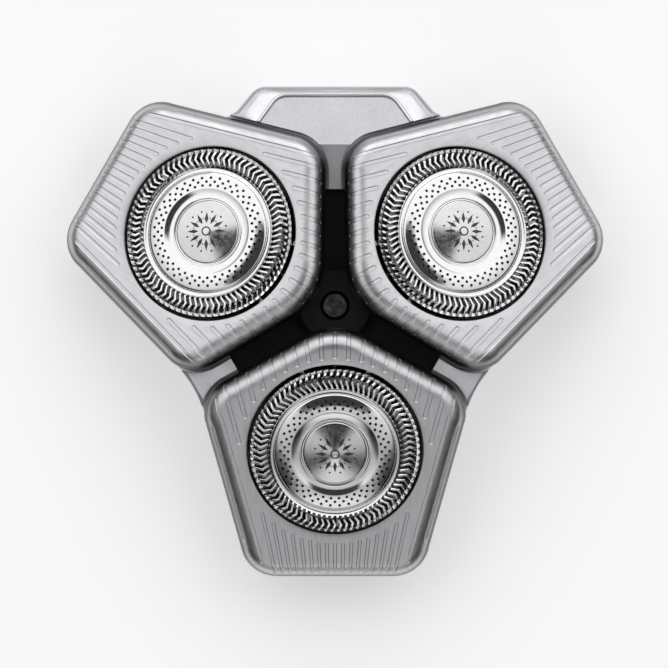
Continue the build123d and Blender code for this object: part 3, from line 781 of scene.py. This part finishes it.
def lozenge(centre, heading, length, width):
    """Loop of a lozenge whose widest place lies a little inward of its middle."""
    along = Vector((math.cos(heading), math.sin(heading)))
    across = Vector((-along.y, along.x))
    shoulder = centre - along * length * RAY_SHOULDER
    return [centre + along * length / 2, shoulder + across * width / 2,
            centre - along * length / 2, shoulder - across * width / 2]


def rosette():
    """Plain rosette of lozenges and dots, as closed loops."""
    loops = []
    for a in turn(RAYS):
        out = Vector((math.cos(a), math.sin(a)))
        loops.append(lozenge(out * RAY_MIDDLE, a, RAY_LENGTH, RAY_WIDTH))
        b = a + math.pi / RAYS
        between = Vector((math.cos(b), math.sin(b)))
        for radius, points, distance in DOTS:
            loops.append(circle(radius, points, between * distance))
    for radius in EYE_RINGS:
        loops.append(circle(radius, EYE_POINTS))
    return loops


def dome(radius):
    """Height of the trim disc."""
    return DISC_TOP + DISC_DOME * (1 - (radius / DISC_EDGE) ** DISC_POWER)


def disc_top(shell):
    """Domed face with the rosette etched into it, in the second material."""
    marks = rosette()
    rings = []
    for k in range(1, DISC_RINGS):
        points = max(DISC_LEAST, round(DISC_SEGMENTS * k / DISC_RINGS))
        rings.append(circle(DISC_EDGE * k / DISC_RINGS, points))
    spots, faces = triangles([circle(DISC_EDGE, DISC_SEGMENTS), *rings, *marks])
    top = [shell.add((x, y, dome(math.hypot(x, y)))) for x, y in spots]
    low = {}
    pits = []
    for face in faces:
        hits = sum(inside_loop(middle(face, spots), loop) for loop in marks)
        if hits == 1:
            pits.append(face)
        else:
            shell.face([top[i] for i in face])
    sides = {}
    for face in pits:
        for i in face:
            if i not in low:
                x, y, z = shell.points[top[i]]
                low[i] = shell.add((x, y, z - ETCH_DEPTH))
        shell.face([low[i] for i in face], 1)
        for i, j in zip(face, face[1:] + face[:1]):
            key = (min(i, j), max(i, j))
            sides[key] = sides.get(key, 0) + 1
    for (i, j), uses in sides.items():
        if uses == 1:
            shell.face((top[i], top[j], low[j], low[i]), 1)


def disc_shell():
    """Domed trim disc with an etched rosette, and the stem below it."""
    shell = Shell()
    disc_top(shell)
    rings = shell.lathe(
        (
            (DISC_EDGE, DISC_TOP),
            *DISC_ROUND,
            (DISC_RADIUS, DISC_BOTTOM),
            (STEM_RADIUS, DISC_BOTTOM),
            (STEM_RADIUS, STEM_FOOT + STEM_BEVEL),
            (STEM_RADIUS - STEM_BEVEL, STEM_FOOT),
        ),
        turn(DISC_SEGMENTS),
    )
    shell.face(rings[-1])
    return shell


def lug_shell(side, hinge_x, hinge_z):
    """One hinge lug under the housing's roof, with a round end about the pin."""
    shell = Shell()
    front = hinge_x + LUG_RADIUS
    back = hinge_x - LUG_RADIUS
    outline = [(front, -HOUSING_ROOF / 2), (front, hinge_z)]
    for k in range(1, LUG_STEPS):
        a = -math.pi * k / LUG_STEPS
        outline.append((hinge_x + LUG_RADIUS * math.cos(a), hinge_z + LUG_RADIUS * math.sin(a)))
    outline += [(back, hinge_z), (back, -HOUSING_ROOF / 2)]
    near = [shell.add((x, side * LUG_INNER, z)) for x, z in outline]
    far = [shell.add((x, side * LUG_OUTER, z)) for x, z in outline]
    shell.strip(near, far)
    shell.face(near)
    shell.face(far)
    return shell


def tube_shell(path, radius, sides=12):
    """Closed round bead along a path of points in space."""
    shell = Shell()
    rings = []
    for i, point in enumerate(path):
        before = path[max(0, i - 1)]
        after = path[min(len(path) - 1, i + 1)]
        along = (after - before).normalized()
        across = along.cross(Vector((0, 0, 1))).normalized()
        up = across.cross(along)
        rings.append([
            shell.add(point + (across * math.cos(a) + up * math.sin(a)) * radius) for a in turn(sides)
        ])
    for first, second in zip(rings, rings[1:]):
        shell.strip(first, second)
    shell.face(rings[0])
    shell.face(rings[-1])
    return shell


def tab_height(y):
    """Height of the tab's slope at a distance from the centre screw."""
    slope = (TAB_EDGE[1] - TAB_CREST[1]) / (TAB_EDGE[0] - TAB_CREST[0])
    return TAB_CREST[1] + slope * (y - TAB_CREST[0])


def arc(centre, radius, start, end, steps):
    """Points along an arc, without its first one. Angles in degrees."""
    angles = [math.radians(start + (end - start) * k / steps) for k in range(1, steps + 1)]
    return [(centre[0] + radius * math.cos(a), centre[1] + radius * math.sin(a)) for a in angles]


def mirrored(half):
    """Both halves of a path whose given half starts at x = 0."""
    return [Vector((-x, y)) for x, y in reversed(half[1:])] + [Vector(p) for p in half]


def line(start, end, steps):
    """Evenly spaced points along a line, without its first one."""
    span = Vector(end) - Vector(start)
    return [tuple(Vector(start) + span * k / steps) for k in range(1, steps + 1)]


def tab_paths():
    """Outer edge of the tab with its S-shaped sides, and the bead inside it, with as many points."""
    half, radius = BAND_CORNER
    edge = [(0.0, TAB_REACH)] + line((0.0, TAB_REACH), (half, TAB_REACH), 4)
    edge += arc((half, TAB_REACH - radius), radius, start=90, end=35, steps=6)
    edge += line(edge[-1], BAND_WAIST, 2)
    edge += arc(*BAND_FLARE, start=215, end=259, steps=6)
    half, radius = BEAD_CORNER
    bead = [(0.0, BEAD_REACH)] + line((0.0, BEAD_REACH), (half, BEAD_REACH), 4)
    bead += arc((half, BEAD_REACH - radius), radius, start=90, end=30, steps=6)
    bead += line(bead[-1], BEAD_END, 8)
    return mirrored(edge), mirrored(bead)


def tab_band_shell(edge, bead):
    """Raised band between the tab's edge and its bead, rolled over at the edge."""
    shell = Shell()
    sections = []
    part = BAND_ROLL * BAND_ROLL_MIDDLE
    ledge, ledge_height = BAND_LEDGE
    for outer, inner in zip(edge, bead):
        inward = (inner - outer).normalized()
        stations = (
            (outer, -BAND_WALL),
            (outer, BAND_FALL - BAND_ROLL),
            (outer + inward * part, BAND_FALL - part),
            (outer + inward * BAND_ROLL, BAND_FALL),
            (inner, BAND_RISE),
            (inner + inward * ledge, ledge_height),
            (inner + inward * ledge, -BAND_WALL),
        )
        sections.append([shell.add((p.x, p.y, tab_height(p.y) + rise)) for p, rise in stations])
    rows = list(zip(*sections))
    for first, second in zip(rows, rows[1:] + rows[:1]):
        shell.strip(first, second, closed=False)
    shell.face(sections[0])
    shell.face(sections[-1])
    return shell


def new_material(name, colour, metallic, roughness):
    """Material with a Principled shader. Returns the material, its tree and the shader."""
    material = bpy.data.materials.new(name)
    material.use_nodes = True
    tree = material.node_tree
    shader = tree.nodes["Principled BSDF"]
    shader.inputs["Base Color"].default_value = (*colour, 1)
    shader.inputs["Metallic"].default_value = metallic
    shader.inputs["Roughness"].default_value = roughness
    return material, tree, shader


def local_place(tree):
    """Place in the head's own frame, which make_piece keeps in each mesh."""
    place = tree.nodes.new("ShaderNodeAttribute")
    place.attribute_name = "local"
    return place.outputs["Vector"]


def grain(tree, scale, stretch=(1, 1, 1), detail=3.0, local=False):
    """Noise in the part's frame, or in the head's own frame. Returns its factor."""
    source = local_place(tree) if local else tree.nodes.new("ShaderNodeTexCoord").outputs["Object"]
    mapping = tree.nodes.new("ShaderNodeMapping")
    mapping.inputs["Scale"].default_value = stretch
    noise = tree.nodes.new("ShaderNodeTexNoise")
    noise.inputs["Scale"].default_value = scale
    noise.inputs["Detail"].default_value = detail
    tree.links.new(source, mapping.inputs["Vector"])
    tree.links.new(mapping.outputs["Vector"], noise.inputs["Vector"])
    return noise.outputs["Fac"]


def ramp(tree, value, start, end, low, high, kind="LINEAR"):
    """Clamped map of a value from one range to another. Returns the result."""
    node = tree.nodes.new("ShaderNodeMapRange")
    node.interpolation_type = kind
    node.inputs["From Min"].default_value = start
    node.inputs["From Max"].default_value = end
    node.inputs["To Min"].default_value = low
    node.inputs["To Max"].default_value = high
    tree.links.new(value, node.inputs["Value"])
    return node.outputs["Result"]


def reckon(tree, operation, *values):
    """Math node on sockets and floats. Returns its value."""
    node = tree.nodes.new("ShaderNodeMath")
    node.operation = operation
    for socket, value in zip(node.inputs, values):
        if isinstance(value, float):
            socket.default_value = value
        else:
            tree.links.new(value, socket)
    return node.outputs[0]


def vary_roughness(tree, shader, factor, low, high):
    """Roughness between two values by a noise."""
    tree.links.new(ramp(tree, factor, NOISE_LOW, NOISE_HIGH, low, high), shader.inputs["Roughness"])


def tint(tree, shader, factor, dark, light):
    """Colour between two tones by a noise."""
    colours = tree.nodes.new("ShaderNodeValToRGB")
    stops = colours.color_ramp.elements
    for stop, position, colour in ((stops[0], NOISE_LOW, dark), (stops[1], NOISE_HIGH, light)):
        stop.position = position
        stop.color = (*colour, 1)
    tree.links.new(factor, colours.inputs["Fac"])
    tree.links.new(colours.outputs["Color"], shader.inputs["Base Color"])


def bump(tree, shader, factor, strength, distance):
    """Fine relief by a noise, the distance in metres."""
    node = tree.nodes.new("ShaderNodeBump")
    node.inputs["Strength"].default_value = strength
    node.inputs["Distance"].default_value = distance
    tree.links.new(factor, node.inputs["Height"])
    tree.links.new(node.outputs["Normal"], shader.inputs["Normal"])


def brushed_silver():
    """Silver coating with faint brush marks along the head's x, and painted shade down the side walls."""
    silver = new_material("brushed_silver", (0.66, 0.66, 0.67), metallic=1.0, roughness=0.34)
    material, tree, shader = silver
    marks = grain(tree, scale=2600, stretch=(0.05, 1, 1), local=True)
    scratches = grain(tree, scale=4200, stretch=(0.35, 1, 1), detail=2, local=True)
    tint(tree, shader, marks, dark=(0.62, 0.62, 0.63), light=(0.7, 0.7, 0.71))
    vary_roughness(tree, shader, grain(tree, scale=900, detail=4), low=0.3, high=0.37)
    bump(tree, shader, scratches, strength=0.2, distance=FINE_BUMP)
    # Painted shade: the base colour darkens down the side walls, by height in the head's frame
    split = tree.nodes.new("ShaderNodeSeparateXYZ")
    tree.links.new(local_place(tree), split.inputs[0])
    height = split.outputs["Z"]
    tone = ramp(tree, height, PAINTED_SHADE_FULL * MM, PAINTED_SHADE_START * MM, SIDE_PAINTED_SHADE, 1, "SMOOTHSTEP")
    scale = tree.nodes.new("ShaderNodeVectorMath")
    scale.operation = "SCALE"
    tree.links.new(shader.inputs["Base Color"].links[0].from_socket, scale.inputs[0])
    tree.links.new(tone, scale.inputs["Scale"])
    tree.links.new(scale.outputs["Vector"], shader.inputs["Base Color"])
    return material


def satin_silver():
    """Light satin silver of the frame."""
    silver = new_material("satin_silver", (0.5, 0.5, 0.52), metallic=0.9, roughness=0.36)
    material, tree, shader = silver
    cloud = grain(tree, scale=2400)
    tint(tree, shader, cloud, dark=(0.48, 0.48, 0.5), light=(0.54, 0.54, 0.56))
    vary_roughness(tree, shader, grain(tree, scale=300), low=0.32, high=0.4)
    bump(tree, shader, cloud, strength=0.1, distance=FINE_BUMP)
    return material


def tab_highlight_silver(name, tone):
    """Silver of the tab's band and bead, lighter than the frame's own silver as a painted highlight."""
    material, tree, shader = new_material(name, grey(tone), metallic=0.9, roughness=0.3)
    cloud = grain(tree, scale=2400)
    tint(tree, shader, cloud, dark=grey(tone - TONE_SWING), light=grey(tone + TONE_SWING))
    return material


def polished_steel():
    """Bright polished steel of the guards."""
    steel = new_material("polished_steel", (0.8, 0.8, 0.8), metallic=1.0, roughness=0.09)
    material, tree, shader = steel
    marks = grain(tree, scale=1600)
    tint(tree, shader, marks, dark=(0.77, 0.77, 0.77), light=(0.83, 0.83, 0.83))
    vary_roughness(tree, shader, marks, low=0.07, high=0.12)
    return material


def satin_steel():
    """Turned steel of the trim discs."""
    steel = new_material("satin_steel", (0.68, 0.68, 0.68), metallic=1.0, roughness=0.15)
    material, tree, shader = steel
    marks = grain(tree, scale=2200)
    tint(tree, shader, marks, dark=(0.64, 0.64, 0.64), light=(0.72, 0.72, 0.72))
    vary_roughness(tree, shader, marks, low=0.12, high=0.19)
    return material


def plain(name):
    """Moulded or plated finish with slight variation and grain, from the list of finishes."""
    dark, light, metallic, rough_low, rough_high, scale, strength = FINISHES[name]
    material, tree, shader = new_material(name, grey(dark), metallic, rough_low)
    cloud = grain(tree, scale, detail=4)
    tint(tree, shader, cloud, grey(dark), grey(light))
    vary_roughness(tree, shader, cloud, rough_low, rough_high)
    bump(tree, shader, cloud, strength, COARSE_BUMP)
    return material


def grey(level):
    """A slightly cool grey."""
    return (level, level, level * 1.02)


def repaint(node, material):
    """New material on a CAD node."""
    piece = frame["nodes"][node]
    piece.data.materials.clear()
    piece.data.materials.append(material)


def head_place(head):
    """Matrix of a head's own frame."""
    out = Vector(joints[f"spin_{head}"]["axis"]).normalized()
    away = Vector(joints[f"roll_{head}"]["axis"]).normalized()
    matrix = Matrix((away, out.cross(away), out)).transposed().to_4x4()
    matrix.translation = Vector(joints[f"spin_{head}"]["pos_m"])
    return matrix


def build_heads():
    """Housing, guard, disc and lugs of each head, in place of the plain solids."""
    silver = brushed_silver()
    steel = polished_steel()
    disc = satin_steel()
    etched = plain("etched_steel")
    housing_mesh = housing_shell()
    guard_mesh = guard_shell()
    disc_mesh = disc_shell()
    for head in HEADS:
        place = head_place(head)
        housing = make_piece(f"housing_skin_{head}", housing_mesh, [silver], place, sharp=24)
        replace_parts(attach(housing, f"head_{head}"), f"housing_{head}")
        hinge = place.inverted() @ Vector(joints[f"tilt_{head}"]["pos_m"]) / MM
        for side, name in ((1, "a"), (-1, "b")):
            lug_mesh = lug_shell(side, hinge.x, hinge.z)
            lug = make_piece(f"hinge_lug_{name}_{head}", lug_mesh, [silver], place)
            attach(lug, f"head_{head}")
        guard = make_piece(f"guard_skin_{head}", guard_mesh, [steel], place, sharp=32)
        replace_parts(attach(guard, f"unit_{head}"), f"guard_{head}")
        trim = make_piece(f"trim_disc_skin_{head}", disc_mesh, [disc, etched], place, sharp=32)
        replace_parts(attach(trim, f"unit_{head}"), f"trim_disc_{head}")


def dress_solids():
    """Materials of the solids that keep their own shape."""
    black = plain("moulded_black")
    black.node_tree.nodes["Principled BSDF"].inputs["Specular IOR Level"].default_value = BLACK_SPECULAR
    carrier = plain("carrier_black")
    ring = plain("ring_grey")
    hub = plain("hub_grey")
    blade = plain("ground_steel")
    screw = plain("dark_plated")
    pin = plain("bright_pin")
    repaint("frame", satin_silver())
    repaint("centre_deck", black)
    repaint("centre_screw", screw)
    for head in HEADS:
        repaint(f"carrier_{head}", carrier)
        repaint(f"retaining_ring_{head}", ring)
        repaint(f"drive_hub_{head}", hub)
        repaint(f"blade_ring_{head}", blade)
        repaint(f"hinge_pin_{head}", pin)
        repaint(f"roll_pins_{head}", screw)


def build_tab():
    """Raised band and bead on the tab, in lighter silver than the frame as a painted highlight."""
    edge, bead = tab_paths()
    path = [Vector((p.x, p.y, tab_height(p.y) + BAND_RISE + BEAD_RISE)) for p in bead]
    for name, shell, tone in (
        ("tab_band", tab_band_shell(edge, bead), BAND_PAINTED_HIGHLIGHT),
        ("tab_bead", tube_shell(path, BEAD_RADIUS), BEAD_PAINTED_HIGHLIGHT),
    ):
        silver = tab_highlight_silver(f"{name}_silver", tone)
        piece = make_piece(name, shell, [silver], Matrix.Identity(4), sharp=35)
        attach(piece, "frame")


def softbox(name, azimuth, elevation, distance, size, power):
    """Area light aimed at the object. Angles in degrees."""
    light = bpy.data.lights.new(name, "AREA")
    light.shape = "RECTANGLE"
    light.size = size[0]
    light.size_y = size[1]
    light.energy = power
    lamp = bpy.data.objects.new(name, light)
    bpy.context.scene.collection.objects.link(lamp)
    a = math.radians(azimuth)
    e = math.radians(elevation)
    towards = Vector((math.cos(e) * math.cos(a), math.cos(e) * math.sin(a), math.sin(e)))
    lamp.location = towards * distance
    lamp.rotation_euler = towards.to_track_quat("Z", "Y").to_euler()


def studio_world():
    """Soft light, strongest from the tab's side, with a dark patch above and a darker horizon."""
    world = bpy.data.worlds.new("studio")
    bpy.context.scene.world = world
    world.use_nodes = True
    tree = world.node_tree
    background = tree.nodes["Background"]
    background.inputs["Color"].default_value = SKY_COLOUR
    split = tree.nodes.new("ShaderNodeSeparateXYZ")
    tree.links.new(tree.nodes.new("ShaderNodeTexCoord").outputs["Generated"], split.inputs[0])
    up = split.outputs["Z"]
    slant = reckon(tree, "MULTIPLY_ADD", split.outputs["Y"], TAB_SIDE, up)
    level = ramp(tree, slant, 0, 1, LIGHT_LOW, LIGHT_HIGH)
    patch = ramp(tree, up, PATCH_START, PATCH_FULL, 1, PATCH_LEVEL, "SMOOTHSTEP")
    horizon = ramp(tree, up, HORIZON_FULL, HORIZON_END, HORIZON_LEVEL, 1, "SMOOTHSTEP")
    lean = reckon(tree, "MULTIPLY_ADD", split.outputs["Y"], SHADE_SIDE, up)
    shade = ramp(tree, lean, SHADE_FULL, SHADE_END, SHADE_LEVEL, 1, "SMOOTHSTEP")
    above = reckon(tree, "MULTIPLY", reckon(tree, "MULTIPLY", level, patch), horizon)
    above = reckon(tree, "MULTIPLY", above, shade)
    aside = reckon(tree, "ADD", reckon(tree, "ABSOLUTE", split.outputs["X"]), split.outputs["Y"])
    fill = ramp(tree, aside, FILL_START, FILL_FULL, 0, FILL_LEVEL, "SMOOTHSTEP")
    above = reckon(tree, "MAXIMUM", above, reckon(tree, "MULTIPLY", fill, horizon))
    below = ramp(tree, up, 0, BELOW_FULL, 0, BELOW_LEVEL)
    tree.links.new(reckon(tree, "MAXIMUM", above, below), background.inputs["Strength"])


def pale_floor():
    """White to the camera and in reflections, with the object's shadow on it."""
    material, tree, shader = new_material("pale_floor", (FLOOR_TONE,) * 3, 0.0, FLOOR_ROUGHNESS)
    shader.inputs["Emission Color"].default_value = (1, 1, 1, 1)
    shader.inputs["Specular IOR Level"].default_value = FLOOR_SPECULAR
    path = tree.nodes.new("ShaderNodeLightPath").outputs
    seen = reckon(tree, "ADD", path["Is Camera Ray"], path["Is Glossy Ray"])
    seen = reckon(tree, "ADD", seen, path["Is Transmission Ray"])
    seen = reckon(tree, "MINIMUM", seen, 1.0)
    tree.links.new(reckon(tree, "MULTIPLY", seen, FLOOR_GLOW), shader.inputs["Emission Strength"])
    return material


def build_stage():
    """Pale floor, soft light and the camera."""
    scene = bpy.context.scene
    bpy.ops.mesh.primitive_plane_add(size=FLOOR_SIZE, location=(0, 0, 0))
    floor = bpy.context.object
    floor.name = "floor"
    floor.data.materials.append(pale_floor())
    studio_world()
    softbox("key_tab_side", azimuth=90, elevation=34, distance=0.9, size=(0.7, 0.16), power=0.6)

    camera = bpy.data.cameras.new("camera")
    camera.sensor_width = SENSOR_WIDTH
    camera.lens = camera.sensor_width * CAMERA_HEIGHT / PHOTO_WIDTH
    camera.clip_start = 0.01
    eye = bpy.data.objects.new("camera", camera)
    scene.collection.objects.link(eye)
    eye.location = PHOTO_CENTRE + Vector((0, 0, CAMERA_HEIGHT))
    scene.camera = eye
    scene.view_settings.view_transform = "Standard"


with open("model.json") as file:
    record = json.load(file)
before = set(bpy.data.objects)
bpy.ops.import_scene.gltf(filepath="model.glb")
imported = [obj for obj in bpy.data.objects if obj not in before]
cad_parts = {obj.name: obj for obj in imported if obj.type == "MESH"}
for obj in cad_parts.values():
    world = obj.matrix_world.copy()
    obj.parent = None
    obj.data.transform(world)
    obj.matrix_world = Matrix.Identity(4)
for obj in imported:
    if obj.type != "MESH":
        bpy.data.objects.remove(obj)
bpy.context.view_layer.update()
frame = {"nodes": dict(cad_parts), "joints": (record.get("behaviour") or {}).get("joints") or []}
joints = {joint["name"]: joint for joint in frame["joints"]}
build_heads()
dress_solids()
build_tab()
build_stage()
